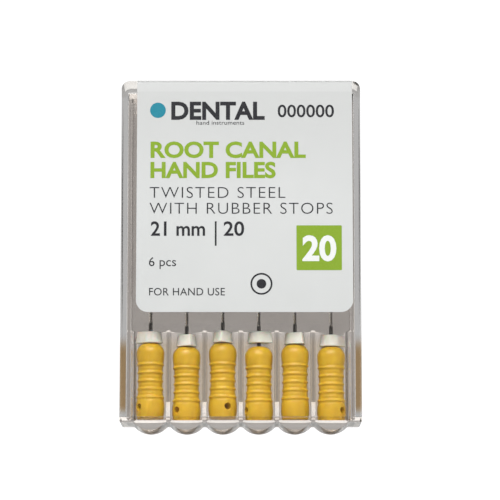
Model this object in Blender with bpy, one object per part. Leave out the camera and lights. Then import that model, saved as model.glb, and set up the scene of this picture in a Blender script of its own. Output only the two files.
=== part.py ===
"""Pack of six hand K-files: a clear tray, a clear sleeve that slides over it, a wrap-round
paper label, and six files with a depth stop on each.

Metres, +Z up. The pack stands on the six rounded ridges of its lower end, its labelled face
towards -Y. The origin is the centre of its base. A file points up: handle below, tip on top.
"""
import math
from collections import namedtuple

import bmesh
import bpy
from mathutils import Matrix, Vector

MM = 0.001

# The case as a whole
CASE_WIDTH = 35.0 * MM
CASE_DEPTH = 8.0 * MM
CASE_TOP = 51.32 * MM
CORNER_RADIUS = 1.2 * MM
END_CORNER_RADIUS = 0.35 * MM

# Sleeve: closed at the top and on four sides, open below
SLEEVE_WALL = 0.85 * MM
SLEEVE_FACE_WALL = 0.9 * MM
SLEEVE_TOP_WALL = 1.6 * MM
SLEEVE_EDGE = 0.4 * MM
SLIDE_GAP = 0.12 * MM
SEAT_GAP = 0.05 * MM

# Tray: an end block with ridges below, and an open-fronted trough above it
END_BLOCK_BOTTOM = 1.08 * MM
END_BLOCK_TOP = 1.83 * MM
RIDGE_RADIUS = 3.2 * MM
TRAY_WALL = 0.68 * MM
TRAY_FLOOR = 0.7 * MM
TRAY_END_WALL = 0.8 * MM
LIP_SETBACK = 0.02 * MM
POCKET_BOTTOM = 1.36 * MM
POCKET_TOP = 14.75 * MM
POCKET_CORNER_RADIUS = 0.5 * MM
DIVIDER_WIDTH = 0.62 * MM
DIVIDER_FRONT = -0.9 * MM
DIVIDER_ROUND = 0.2 * MM

# Files
FILE_COUNT = 6
FILE_PITCH = 5.27 * MM
HANDLE_LENGTH = 11.0 * MM
HANDLE_FOOT_RADIUS = 1.95 * MM
HANDLE_FOOT_ROUND = 0.2 * MM
HANDLE_END_RADIUS = 2.09 * MM
HANDLE_WAIST_RADIUS = 1.77 * MM
HANDLE_BULB_RADIUS = 2.03 * MM
HANDLE_END_HEIGHT = 1.4 * MM
HANDLE_WAIST_HEIGHT = 5.8 * MM
HANDLE_BULB_HEIGHT = 9.5 * MM
HANDLE_TOP_FLAT = 0.75 * MM
GRIP_CURVE = 1.8
RIB_COUNT = 5
RIB_PITCH = 1.195 * MM
LOWEST_RIB = 3.07 * MM
RIB_HALF_WIDTH = 0.22 * MM
RIB_RISE = 0.1 * MM
CORD_HOLE_RADIUS = 0.4 * MM
CORD_HOLE_HEIGHT = 1.65 * MM

WORKING_LENGTH = 21.0 * MM
SHANK_RADIUS = 0.29 * MM
SHANK_LENGTH = 3.2 * MM
TANG_LENGTH = 7.0 * MM
TANG_GAP = 0.05 * MM
TIP_DIAMETER = 0.20 * MM
TIP_LENGTH = 0.25 * MM
BLADE_TAPER = 0.02
FLUTE_PITCH = 1.6 * MM
FLUTE_RUNOUT = 0.1 * MM

STOP_RADIUS = 1.5 * MM
STOP_BACK = 1.75 * MM
STOP_POINT = 2.22 * MM
STOP_NOSE = 0.18 * MM
STOP_FLANK_DEGREES = 40
STOP_THICKNESS = 1.65 * MM
STOP_DRAFT = 0.88
STOP_BORE_RADIUS = 0.34 * MM

# Label: one sheet down the front, over the top and down the back
LABEL_WIDTH = 31.5 * MM
LABEL_OFFSET = 0.55 * MM
LABEL_FRONT_BOTTOM = 17.08 * MM
LABEL_BACK_BOTTOM = 19.5 * MM
LABEL_CORNER = 1.75 * MM
LABEL_THICKNESS = 0.1 * MM
LABEL_GAP = 0.03 * MM

# How each file lies in the pack: its height above its seat, which way the cord hole and the
# stop's point face (degrees from the front, positive towards +X), and the gap under the stop
Lie = namedtuple("Lie", "lift hole_turn stop_turn stop_gap")
LIES = [
    Lie(0.50 * MM, -52, -90, 0.0),
    Lie(0.00 * MM, -43, 15, 0.0),
    Lie(0.55 * MM, 22, -8, 0.0),
    Lie(0.00 * MM, -63, 65, 0.50 * MM),
    Lie(0.33 * MM, 90, 30, 0.0),
    Lie(0.00 * MM, 51, 98, 0.0),
]

# How far a cutter runs past the surface that it cuts, and the largest gap that counts as none
CUT_OVERRUN = 1.0 * MM
TOUCH = 0.001 * MM

# Angles between faces above which an edge stays sharp, in degrees
HANDLE_SHARP = 50
STOP_SHARP = 40

# Mesh fineness
HANDLE_SEGMENTS = 20
SHANK_SIDES = 8
BORE_SIDES = 12
TWIST_STEPS_PER_TURN = 8
RIDGE_SEGMENTS = 8
TROUGH_SEGMENTS = 10
DOME_SEGMENTS = 5
STOP_SEGMENTS = 12
CORNER_SEGMENTS = 4
SMALL_ROUND_SEGMENTS = 2

# Derived sizes
HALF_WIDTH = CASE_WIDTH / 2
HALF_DEPTH = CASE_DEPTH / 2
CAVITY_HALF_WIDTH = HALF_WIDTH - SLEEVE_WALL
CAVITY_HALF_DEPTH = HALF_DEPTH - SLEEVE_FACE_WALL
CAVITY_TOP = CASE_TOP - SLEEVE_TOP_WALL
SLEEVE_BOTTOM = END_BLOCK_TOP + SEAT_GAP
TRAY_HALF_WIDTH = CAVITY_HALF_WIDTH - SLIDE_GAP
TRAY_HALF_DEPTH = CAVITY_HALF_DEPTH - SLIDE_GAP
TRAY_TOP = CAVITY_TOP - SLIDE_GAP
POCKET_HALF_WIDTH = TRAY_HALF_WIDTH - TRAY_WALL
FLOOR_FACE = TRAY_HALF_DEPTH - TRAY_FLOOR
TROUGH_RADIUS = (FILE_PITCH - DIVIDER_WIDTH) / 2


# ---------------------------------------------------------------- materials

def make_material(name, colour, roughness, metallic=0.0, transmission=0.0):
    material = bpy.data.materials.new(name)
    material.use_nodes = True
    shader = material.node_tree.nodes["Principled BSDF"]
    shader.inputs["Base Color"].default_value = (*colour, 1.0)
    shader.inputs["Roughness"].default_value = roughness
    shader.inputs["Metallic"].default_value = metallic
    shader.inputs["Transmission Weight"].default_value = transmission
    material.diffuse_color = (*colour, 1.0)
    return material


# ------------------------------------------------------------ mesh building

def add_object(name, bm, material, parent=None):
    """Closes the bmesh into a named object in the scene."""
    bmesh.ops.recalc_face_normals(bm, faces=bm.faces[:])
    mesh = bpy.data.meshes.new(name)
    bm.to_mesh(mesh)
    bm.free()
    obj = bpy.data.objects.new(name, mesh)
    bpy.context.collection.objects.link(obj)
    obj.parent = parent
    if material:
        mesh.materials.append(material)
    return obj


def shade_round(obj, sharp_degrees):
    obj.data.shade_smooth()
    obj.data.set_sharp_from_angle(angle=math.radians(sharp_degrees))


def bridge(bm, lower, upper):
    """Joins two rings with the same number of points."""
    count = len(lower)
    for i in range(count):
        j = (i + 1) % count
        bm.faces.new((lower[i], lower[j], upper[j], upper[i]))


def prism(outline, start, end, place):
    """Extrudes a flat outline; place(u, v, w) puts its point (u, v) at the distance w."""
    bm = bmesh.new()
    rings = [[bm.verts.new(place(u, v, w)) for u, v in outline] for w in (start, end)]
    bridge(bm, *rings)
    bm.faces.new(rings[0])
    bm.faces.new(rings[1])
    return bm


def along_z(u, v, w):
    return (u, v, w)


def along_y(u, v, w):
    return (u, w, v)


def arc(centre_u, centre_v, radius, start, end, segments):
    """Points on an arc, both ends included; the angles are in degrees."""
    points = []
    for i in range(segments + 1):
        angle = math.radians(start + (end - start) * i / segments)
        points.append((centre_u + radius * math.cos(angle), centre_v + radius * math.sin(angle)))
    return points


def box(half_width, y_range, z_range):
    outline = [(-half_width, y_range[0]), (half_width, y_range[0])]
    outline += [(half_width, y_range[1]), (-half_width, y_range[1])]
    return prism(outline, *z_range, along_z)


def add_cutter(name, bm):
    cutter = add_object(name, bm, None)
    cutter.hide_render = True
    cutter.display_type = "WIRE"
    return cutter


def combine(obj, other, operation):
    modifier = obj.modifiers.new(other.name, "BOOLEAN")
    modifier.operation = operation
    modifier.solver = "EXACT"
    modifier.object = other


# ------------------------------------------------------------------- tray

def file_x(index):
    return (index - (FILE_COUNT - 1) / 2) * FILE_PITCH


def end_block_outline():
    """The end block seen from the front: two rounded lower corners and the six ridges."""
    half_chord = math.sqrt(RIDGE_RADIUS**2 - (RIDGE_RADIUS - END_BLOCK_BOTTOM) ** 2)
    spread = math.degrees(math.asin(half_chord / RIDGE_RADIUS))
    corner_z = END_BLOCK_BOTTOM + END_CORNER_RADIUS
    corner_x = HALF_WIDTH - END_CORNER_RADIUS
    outline = [(-HALF_WIDTH, END_BLOCK_TOP)]
    outline += arc(-corner_x, corner_z, END_CORNER_RADIUS, 180, 270, CORNER_SEGMENTS)
    for index in range(FILE_COUNT):
        outline += arc(file_x(index), RIDGE_RADIUS, RIDGE_RADIUS, 270 - spread, 270 + spread,
                       RIDGE_SEGMENTS)
    outline += arc(corner_x, corner_z, END_CORNER_RADIUS, 270, 360, CORNER_SEGMENTS)
    outline.append((HALF_WIDTH, END_BLOCK_TOP))
    return outline


def pocket_outline(front):
    """The six pockets and the open space in front of them, seen from above.

    A pocket is round behind its file; the outer two are flat against the side walls."""
    edge_y = DIVIDER_FRONT + DIVIDER_ROUND
    corner_x = POCKET_HALF_WIDTH - POCKET_CORNER_RADIUS
    corner_y = TROUGH_RADIUS - POCKET_CORNER_RADIUS
    outline = [(-POCKET_HALF_WIDTH, front)]
    outline += arc(-corner_x, corner_y, POCKET_CORNER_RADIUS, 180, 90, SMALL_ROUND_SEGMENTS)
    outline += arc(file_x(0), 0, TROUGH_RADIUS, 90, 0, TROUGH_SEGMENTS // 2)
    for index in range(1, FILE_COUNT):
        right = file_x(index) - TROUGH_RADIUS
        left = right - DIVIDER_WIDTH
        last = index == FILE_COUNT - 1
        outline += arc(left + DIVIDER_ROUND, edge_y, DIVIDER_ROUND, 180, 270, SMALL_ROUND_SEGMENTS)
        outline += arc(right - DIVIDER_ROUND, edge_y, DIVIDER_ROUND, 270, 360, SMALL_ROUND_SEGMENTS)
        outline += arc(file_x(index), 0, TROUGH_RADIUS, 180, 90 if last else 0,
                       TROUGH_SEGMENTS // 2 if last else TROUGH_SEGMENTS)
    outline += arc(corner_x, corner_y, POCKET_CORNER_RADIUS, 90, 0, SMALL_ROUND_SEGMENTS)
    outline.append((POCKET_HALF_WIDTH, front))
    return outline


def build_tray(material):
    front = -TRAY_HALF_DEPTH - LIP_SETBACK
    tray = add_object("tray", prism(end_block_outline(), -HALF_DEPTH, HALF_DEPTH, along_y), material)

    trough = box(TRAY_HALF_WIDTH, (-TRAY_HALF_DEPTH, TRAY_HALF_DEPTH), (POCKET_BOTTOM, TRAY_TOP))
    combine(tray, add_cutter("trough_blank", trough), "UNION")

    blade_space = box(POCKET_HALF_WIDTH, (front - CUT_OVERRUN, FLOOR_FACE),
                      (POCKET_TOP, TRAY_TOP - TRAY_END_WALL))
    combine(tray, add_cutter("blade_space", blade_space), "DIFFERENCE")

    pockets = prism(pocket_outline(front), POCKET_BOTTOM, POCKET_TOP + CUT_OVERRUN, along_z)
    combine(tray, add_cutter("handle_pockets", pockets), "DIFFERENCE")
    return tray


# ------------------------------------------------------------------ sleeve

def sleeve_outline():
    corner_x = HALF_WIDTH - CORNER_RADIUS
    corner_z = CASE_TOP - CORNER_RADIUS
    outline = [(-HALF_WIDTH, SLEEVE_BOTTOM), (HALF_WIDTH, SLEEVE_BOTTOM)]
    outline += arc(corner_x, corner_z, CORNER_RADIUS, 0, 90, CORNER_SEGMENTS)
    outline += arc(-corner_x, corner_z, CORNER_RADIUS, 90, 180, CORNER_SEGMENTS)
    return outline


def is_rim(edge):
    """An edge around the front or the back face, other than the one at the open lower end."""
    first, second = (vert.co for vert in edge.verts)
    lies_in_face = math.isclose(first.y, second.y, abs_tol=TOUCH)
    return lies_in_face and max(first.z, second.z) > SLEEVE_BOTTOM + TOUCH


def build_sleeve(material):
    bm = prism(sleeve_outline(), -HALF_DEPTH, HALF_DEPTH, along_y)
    rims = [edge for edge in bm.edges if is_rim(edge)]
    bmesh.ops.bevel(bm, geom=rims, offset=SLEEVE_EDGE, segments=SMALL_ROUND_SEGMENTS,
                    profile=0.5, affect="EDGES")
    sleeve = add_object("sleeve", bm, material)
    cavity = box(CAVITY_HALF_WIDTH, (-CAVITY_HALF_DEPTH, CAVITY_HALF_DEPTH), (0, CAVITY_TOP))
    combine(sleeve, add_cutter("sleeve_cavity", cavity), "DIFFERENCE")
    return sleeve


# ------------------------------------------------------------------- label

def label_flap(bottom):
    """Stations up the front of the label and half over its top fold.

    Each is (point on the inner face, outward normal, how far the side edges draw in)."""
    inner_y = HALF_DEPTH + LABEL_GAP
    inner_top = CASE_TOP + LABEL_GAP
    bend = SLEEVE_EDGE + LABEL_GAP
    flap = []
    for u, v in arc(LABEL_CORNER, LABEL_CORNER, LABEL_CORNER, 270, 180, CORNER_SEGMENTS):
        flap.append((Vector((-inner_y, bottom + v)), Vector((-1, 0)), u))
    for i in range(CORNER_SEGMENTS + 1):
        angle = math.radians(180 - 90 * i / CORNER_SEGMENTS)
        normal = Vector((math.cos(angle), math.sin(angle)))
        centre = Vector((-inner_y + bend, inner_top - bend))
        flap.append((centre + normal * bend, normal, 0.0))
    return flap


def label_path():
    """Stations from the front lower edge, over the top, to the back lower edge."""
    back = [(Vector((-p.x, p.y)), Vector((-n.x, n.y)), inset)
            for p, n, inset in reversed(label_flap(LABEL_BACK_BOTTOM))]
    return label_flap(LABEL_FRONT_BOTTOM) + back


def build_label(material):
    bm = bmesh.new()
    rings = []
    for point, normal, inset in label_path():
        outer = point + normal * LABEL_THICKNESS
        left = LABEL_OFFSET - LABEL_WIDTH / 2 + inset
        right = LABEL_OFFSET + LABEL_WIDTH / 2 - inset
        corners = [(left, point), (right, point), (right, outer), (left, outer)]
        rings.append([bm.verts.new((x, p.x, p.y)) for x, p in corners])
    for lower, upper in zip(rings, rings[1:]):
        bridge(bm, lower, upper)
    bm.faces.new(rings[0])
    bm.faces.new(rings[-1])
    return add_object("label", bm, material)


# ------------------------------------------------------------------- files

def smoothstep(t):
    t = min(max(t, 0.0), 1.0)
    return t * t * (3 - 2 * t)


def grip_radius(height):
    """The handle's waisted body between its lower end and its bulb, without the ribs."""
    if height < HANDLE_WAIST_HEIGHT:
        end_radius = HANDLE_END_RADIUS
        span = HANDLE_WAIST_HEIGHT - HANDLE_END_HEIGHT
    else:
        end_radius = HANDLE_BULB_RADIUS
        span = HANDLE_BULB_HEIGHT - HANDLE_WAIST_HEIGHT
    share = smoothstep(abs(height - HANDLE_WAIST_HEIGHT) / span) ** GRIP_CURVE
    return HANDLE_WAIST_RADIUS + (end_radius - HANDLE_WAIST_RADIUS) * share


def handle_profile():
    """(radius, height) from the rounded foot, over the ribs, to the flat of the dome."""
    profile = arc(HANDLE_FOOT_RADIUS - HANDLE_FOOT_ROUND, HANDLE_FOOT_ROUND, HANDLE_FOOT_ROUND,
                  270, 360, SMALL_ROUND_SEGMENTS)
    profile.append((HANDLE_END_RADIUS, HANDLE_END_HEIGHT))
    below_ribs = (HANDLE_END_HEIGHT + LOWEST_RIB) / 2
    profile.append((grip_radius(below_ribs), below_ribs))
    for index in range(RIB_COUNT):
        height = LOWEST_RIB + index * RIB_PITCH
        for offset, rise in ((-RIB_HALF_WIDTH, 0), (0, RIB_RISE), (RIB_HALF_WIDTH, 0)):
            profile.append((grip_radius(height + offset) + rise, height + offset))
    above_ribs = (HANDLE_BULB_HEIGHT + LOWEST_RIB + (RIB_COUNT - 1) * RIB_PITCH) / 2
    profile.append((grip_radius(above_ribs), above_ribs))
    dome_width = HANDLE_BULB_RADIUS - HANDLE_TOP_FLAT
    dome_height = HANDLE_LENGTH - HANDLE_BULB_HEIGHT
    for u, v in arc(0, 0, 1, 0, 90, DOME_SEGMENTS):
        profile.append((HANDLE_TOP_FLAT + dome_width * u, HANDLE_BULB_HEIGHT + dome_height * v))
    return profile


def ring(bm, radius, height, sides, turn=0.0):
    points = []
    for i in range(sides):
        angle = turn + 2 * math.pi * i / sides
        points.append(bm.verts.new((radius * math.cos(angle), radius * math.sin(angle), height)))
    return points


def cylinder(radius, bottom, top, sides):
    bm = bmesh.new()
    rings = [ring(bm, radius, height, sides) for height in (bottom, top)]
    bridge(bm, *rings)
    bm.faces.new(rings[0])
    bm.faces.new(rings[1])
    return bm


def handle_mesh():
    bm = bmesh.new()
    rings = [ring(bm, radius, height, HANDLE_SEGMENTS) for radius, height in handle_profile()]
    for lower, upper in zip(rings, rings[1:]):
        bridge(bm, lower, upper)
    bm.faces.new(rings[0])
    bm.faces.new(rings[-1])
    return bm


def cut_handle(handle):
    """The cord hole through the foot, and the blind bore that the shaft's tang sits in."""
    reach = HANDLE_BULB_RADIUS + CUT_OVERRUN
    cord = cylinder(CORD_HOLE_RADIUS, -reach, reach, BORE_SIDES)
    cord.transform(Matrix.Rotation(math.pi / 2, 4, "X"))
    cord_cutter = add_cutter(handle.name + "_cord_hole", cord)
    cord_cutter.parent = handle
    cord_cutter.location.z = CORD_HOLE_HEIGHT
    combine(handle, cord_cutter, "DIFFERENCE")

    bore_bottom = HANDLE_LENGTH - TANG_LENGTH - TANG_GAP
    bore_top = HANDLE_LENGTH + CUT_OVERRUN
    bore = cylinder(SHANK_RADIUS + TANG_GAP, bore_bottom, bore_top, BORE_SIDES)
    bore_cutter = add_cutter(handle.name + "_tang_bore", bore)
    bore_cutter.parent = handle
    combine(handle, bore_cutter, "DIFFERENCE")


def blade_radius(height):
    """From the axis to a cutting edge, at a height above the handle's top."""
    return TIP_DIAMETER / 2 + (WORKING_LENGTH - height) * BLADE_TAPER / 2


def shaft_mesh():
    """A round tang and shank, then a square blade twisted along its length to a short point."""
    bm = bmesh.new()
    tang = ring(bm, SHANK_RADIUS, -TANG_LENGTH, SHANK_SIDES)
    shank = ring(bm, SHANK_RADIUS, SHANK_LENGTH, SHANK_SIDES)
    bm.faces.new(tang)
    bridge(bm, tang, shank)

    blade_length = WORKING_LENGTH - TIP_LENGTH - SHANK_LENGTH
    steps = round(blade_length / FLUTE_PITCH * TWIST_STEPS_PER_TURN)
    squares = []
    for i in range(steps + 1):
        height = SHANK_LENGTH + FLUTE_RUNOUT + (blade_length - FLUTE_RUNOUT) * i / steps
        turn = 2 * math.pi * i / TWIST_STEPS_PER_TURN
        squares.append(ring(bm, blade_radius(height), height, 4, turn))
    for lower, upper in zip(squares, squares[1:]):
        bridge(bm, lower, upper)

    for i in range(4):
        j = (i + 1) % 4
        corner, middle, after = shank[2 * i], shank[2 * i + 1], shank[(2 * i + 2) % SHANK_SIDES]
        bm.faces.new((corner, middle, squares[0][i]))
        bm.faces.new((middle, squares[0][j], squares[0][i]))
        bm.faces.new((middle, after, squares[0][j]))

    tip = bm.verts.new((0, 0, WORKING_LENGTH))
    for i in range(4):
        bm.faces.new((squares[-1][i], squares[-1][(i + 1) % 4], tip))
    bmesh.ops.triangulate(bm, faces=[face for face in bm.faces if len(face.verts) == 4])
    return bm


def stop_outline():
    """A teardrop: its point towards -Y, a flatter back towards +Y."""
    outline = [(0, -STOP_POINT), (STOP_NOSE, STOP_NOSE / 2 - STOP_POINT)]
    for u, v in arc(0, 0, STOP_RADIUS, -STOP_FLANK_DEGREES, 180 + STOP_FLANK_DEGREES,
                    STOP_SEGMENTS):
        outline.append((u, v * (STOP_BACK / STOP_RADIUS if v > 0 else 1)))
    outline.append((-STOP_NOSE, STOP_NOSE / 2 - STOP_POINT))
    return outline


def stop_mesh():
    """The stop narrows slightly towards its upper face."""
    bm = bmesh.new()
    outline = stop_outline()
    lower = [bm.verts.new((u, v, 0)) for u, v in outline]
    upper = [bm.verts.new((u * STOP_DRAFT, v * STOP_DRAFT, STOP_THICKNESS)) for u, v in outline]
    bridge(bm, lower, upper)
    bm.faces.new(lower)
    bm.faces.new(upper)
    return bm


def build_file(index, lie, yellow, steel, silicone):
    """One file standing on its own axis: handle, shaft and stop hang from an empty on it."""
    seat = POCKET_BOTTOM + SEAT_GAP
    axis = bpy.data.objects.new(f"file_axis_{index + 1}", None)
    bpy.context.collection.objects.link(axis)
    axis.location = (file_x(index), 0, seat + lie.lift)

    handle = add_object(f"handle_{index + 1}", handle_mesh(), yellow, axis)
    handle.rotation_euler.z = math.radians(lie.hole_turn)
    cut_handle(handle)
    shade_round(handle, HANDLE_SHARP)

    shaft = add_object(f"shaft_{index + 1}", shaft_mesh(), steel, axis)
    shaft.location.z = HANDLE_LENGTH
    shaft.rotation_euler.z = math.radians(lie.hole_turn)

    stop = add_object(f"stop_{index + 1}", stop_mesh(), silicone, axis)
    stop.location.z = HANDLE_LENGTH + SEAT_GAP + lie.stop_gap
    stop.rotation_euler.z = math.radians(lie.stop_turn)
    bore = cylinder(STOP_BORE_RADIUS, -CUT_OVERRUN, STOP_THICKNESS + CUT_OVERRUN, BORE_SIDES)
    bore_cutter = add_cutter(stop.name + "_bore", bore)
    bore_cutter.parent = stop
    combine(stop, bore_cutter, "DIFFERENCE")
    shade_round(stop, STOP_SHARP)


def main():
    for obj in list(bpy.data.objects):
        bpy.data.objects.remove(obj, do_unlink=True)

    clear = make_material("clear_tray", (0.80, 0.77, 0.74), 0.12, transmission=0.9)
    outer = make_material("clear_sleeve", (0.88, 0.87, 0.85), 0.08, transmission=0.9)
    paper = make_material("label_paper", (0.86, 0.87, 0.87), 0.55)
    yellow = make_material("handle_yellow", (0.80, 0.52, 0.06), 0.38)
    steel = make_material("file_steel", (0.45, 0.44, 0.43), 0.28, metallic=1.0)
    silicone = make_material("stop_silicone", (0.78, 0.77, 0.70), 0.6)

    build_tray(clear)
    build_sleeve(outer)
    build_label(paper)
    for index, lie in enumerate(LIES):
        build_file(index, lie, yellow, steel, silicone)
    bpy.context.view_layer.update()


main()
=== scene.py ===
"""The looks of a pack of six endodontic hand files, built around its CAD frame.

Metres, +Z up, the labelled face towards -Y. Outer sizes come from the frame; wall thicknesses
and roundings are the named values below.
"""
import math
from collections import namedtuple

import bmesh
import bpy
from mathutils import Matrix, Vector


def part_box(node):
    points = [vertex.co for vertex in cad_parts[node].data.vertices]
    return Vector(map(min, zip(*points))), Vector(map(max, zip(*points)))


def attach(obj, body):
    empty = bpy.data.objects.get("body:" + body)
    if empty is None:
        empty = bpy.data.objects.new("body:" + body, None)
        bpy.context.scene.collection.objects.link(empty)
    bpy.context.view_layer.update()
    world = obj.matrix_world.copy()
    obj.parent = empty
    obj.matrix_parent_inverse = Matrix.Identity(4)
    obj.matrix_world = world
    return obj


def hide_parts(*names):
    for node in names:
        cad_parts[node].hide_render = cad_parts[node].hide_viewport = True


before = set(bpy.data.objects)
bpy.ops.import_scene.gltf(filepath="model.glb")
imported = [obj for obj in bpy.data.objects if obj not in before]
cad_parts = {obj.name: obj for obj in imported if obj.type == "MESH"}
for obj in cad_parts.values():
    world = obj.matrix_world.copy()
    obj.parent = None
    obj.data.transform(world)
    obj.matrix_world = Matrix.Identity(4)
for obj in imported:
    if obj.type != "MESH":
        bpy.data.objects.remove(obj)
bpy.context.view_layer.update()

MM = 0.001

# Outer sizes, from the frame
_, TRAY_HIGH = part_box("tray")
SLEEVE_LOW, SLEEVE_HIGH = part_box("sleeve")
LABEL_LOW, LABEL_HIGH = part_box("label")
HALF_WIDTH = SLEEVE_HIGH[0]
HALF_DEPTH = SLEEVE_HIGH[1]
CASE_TOP = SLEEVE_HIGH[2]
SLEEVE_BOTTOM = SLEEVE_LOW[2]
TRAY_TOP = TRAY_HIGH[2]
FILES = range(1, 1 + sum(name.startswith("handle_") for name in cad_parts))

# Case walls and roundings
CORNER_RADIUS = 1.2 * MM
END_CORNER_RADIUS = 0.35 * MM
SLEEVE_WALL = 0.85 * MM
SLEEVE_FACE_WALL = 0.9 * MM
SLEEVE_TOP_WALL = 1.6 * MM
SLEEVE_EDGE = 0.4 * MM
CAVITY_EDGE = 0.25 * MM
SLIDE_GAP = 0.12 * MM
SEAT_GAP = 0.05 * MM
END_BLOCK_BOTTOM = 1.08 * MM
END_BLOCK_EDGE = 0.22 * MM
RIDGE_RADIUS = 3.2 * MM
RIDGE_FILLET = 0.2 * MM
TRAY_WALL = 0.68 * MM
TRAY_FLOOR = 0.7 * MM
TRAY_END_WALL = 0.8 * MM
POCKET_BOTTOM = 1.36 * MM
POCKET_TOP = 14.75 * MM
POCKET_CORNER_RADIUS = 0.5 * MM
POCKET_DRAFT = 0.55 * MM
DIVIDER_WIDTH = 0.62 * MM
DIVIDER_FRONT = -0.9 * MM
DIVIDER_ROUND = 0.22 * MM
DIVIDER_FOOT_TOP = 4.3 * MM
DIVIDER_FOOT_INSET = 0.01 * MM
DIVIDER_FOOT_REACH = 0.78 * MM
DIVIDER_FOOT_STEP = 0.3 * MM
DIVIDER_FOOT_SUNK = 0.1 * MM
TRAY_LIP_ROUND = 0.3 * MM
CUT_OVERRUN = 1.0 * MM
WELD = 0.002 * MM
SAME_PLACE = 0.001 * MM

END_BLOCK_TOP = SLEEVE_BOTTOM - SEAT_GAP
CAVITY_HALF_WIDTH = HALF_WIDTH - SLEEVE_WALL
CAVITY_HALF_DEPTH = HALF_DEPTH - SLEEVE_FACE_WALL
CAVITY_TOP = CASE_TOP - SLEEVE_TOP_WALL
TRAY_HALF_WIDTH = CAVITY_HALF_WIDTH - SLIDE_GAP
TRAY_HALF_DEPTH = CAVITY_HALF_DEPTH - SLIDE_GAP
POCKET_HALF_WIDTH = TRAY_HALF_WIDTH - TRAY_WALL
FLOOR_FACE = TRAY_HALF_DEPTH - TRAY_FLOOR

# Handles: the waisted body, its ribs, and which way each one's cord hole faces
HANDLE_FOOT_RADIUS = 1.95 * MM
HANDLE_FOOT_ROUND = 0.22 * MM
HANDLE_END_RADIUS = 2.09 * MM
HANDLE_WAIST_RADIUS = 1.80 * MM
HANDLE_BULB_RADIUS = 2.03 * MM
HANDLE_END_HEIGHT = 1.4 * MM
HANDLE_WAIST_HEIGHT = 5.8 * MM
HANDLE_BULB_HEIGHT = 9.5 * MM
HANDLE_TOP_FLAT = 0.75 * MM
GRIP_CURVE = 1.8
RIB_COUNT = 5
RIB_PITCH = 1.195 * MM
LOWEST_RIB = 3.07 * MM
RIB_WIDTH = 0.19 * MM
RIB_RISE = 0.12 * MM
RIB_UNDERCUT = 0.04 * MM
RIB_GROOVE_AWAY = 1.8
CORD_HOLE_RADIUS = 0.3 * MM
CORD_HOLE_MOUTH = 0.5 * MM
CORD_HOLE_LIP = 0.03 * MM
CORD_HOLE_REACH = 3.0 * MM
CORD_HOLE_HEIGHT = 1.65 * MM
TANG_GAP = 0.05 * MM
HOLE_TURNS = [-52, -43, 22, -63, 90, 51]

# Shafts
WORKING_LENGTH = 21.0 * MM
SHANK_RADIUS = 0.29 * MM
SHANK_LENGTH = 2.95 * MM
RUNOUT_LENGTH = 0.3 * MM
BLADE_START = SHANK_LENGTH + RUNOUT_LENGTH
TIP_DIAMETER = 0.20 * MM
TIP_LENGTH = 0.25 * MM
BLADE_TAPER = 0.02
FLUTE_PITCH = 1.6 * MM
FLUTE_HOLLOW = 0.16

# Stops, and which way each one's point faces
STOP_RADIUS = 1.5 * MM
STOP_BACK = 1.75 * MM
STOP_POINT = 2.2 * MM
STOP_NOSE = 0.12 * MM
STOP_NOSE_DEPTH = 0.05 * MM
STOP_FLANK_DEGREES = 42
STOP_DRAFT = 0.88
STOP_BORE_RADIUS = 0.34 * MM
STOP_EDGE = 0.1 * MM
STOP_TURNS = [-90, 15, -8, 65, 30, 98]

# Label and its print
LABEL_BACK_BOTTOM = 19.5 * MM
LABEL_CORNER = 1.75 * MM
LABEL_THICKNESS = 0.1 * MM
PRINT_LIFT = 0.012 * MM
LETTER_WELD = 0.0001 * MM

# Fineness of the meshes: sides of round pieces, and stations along them
HANDLE_SIDES = 72
GRIP_STATIONS = 150
CORD_HOLE_SIDES = 40
SHAFT_SIDES = 24
STATIONS_PER_TURN = 28
STOP_BORE_SIDES = 32
FLOOR_SIDES = 64


# ------------------------------------------------------------ mesh building

def arc(centre_u, centre_v, radius, start, end, segments):
    """Points on an arc, both ends included; the angles are in degrees."""
    points = []
    for i in range(segments + 1):
        angle = math.radians(start + (end - start) * i / segments)
        points.append((centre_u + radius * math.cos(angle), centre_v + radius * math.sin(angle)))
    return points


def circle(centre_u, centre_v, radius, points=48):
    """Points evenly round a circle, for a closed outline."""
    return arc(centre_u, centre_v, radius, 0, 360 - 360 / points, points - 1)


def bridge(bm, lower, upper):
    """Joins two rings with the same number of points."""
    count = len(lower)
    for i in range(count):
        j = (i + 1) % count
        bm.faces.new((lower[i], lower[j], upper[j], upper[i]))


def along_z(u, v, w):
    return (u, v, w)


def along_y(u, v, w):
    return (u, w, v)


def along_x(u, v, w):
    return (w, u, v)


def prism(outline, start, end, place):
    """Extrudes a flat outline; place(u, v, w) puts its point (u, v) at the distance w."""
    bm = bmesh.new()
    rings = [[bm.verts.new(place(u, v, w)) for u, v in outline] for w in (start, end)]
    bridge(bm, *rings)
    bm.faces.new(rings[0])
    bm.faces.new(rings[1])
    return bm


def box(half_width, y_range, z_range):
    outline = [(-half_width, y_range[0]), (half_width, y_range[0])]
    outline += [(half_width, y_range[1]), (-half_width, y_range[1])]
    return prism(outline, *z_range, along_z)


def new_object(name, bm):
    bmesh.ops.recalc_face_normals(bm, faces=bm.faces[:])
    mesh = bpy.data.meshes.new(name)
    bm.to_mesh(mesh)
    bm.free()
    obj = bpy.data.objects.new(name, mesh)
    bpy.context.collection.objects.link(obj)
    return obj


def settle(obj):
    """Applies the object's modifiers to its mesh."""
    evaluated = obj.evaluated_get(bpy.context.evaluated_depsgraph_get())
    mesh = bpy.data.meshes.new_from_object(evaluated)
    obj.modifiers.clear()
    obj.data = mesh


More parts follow.
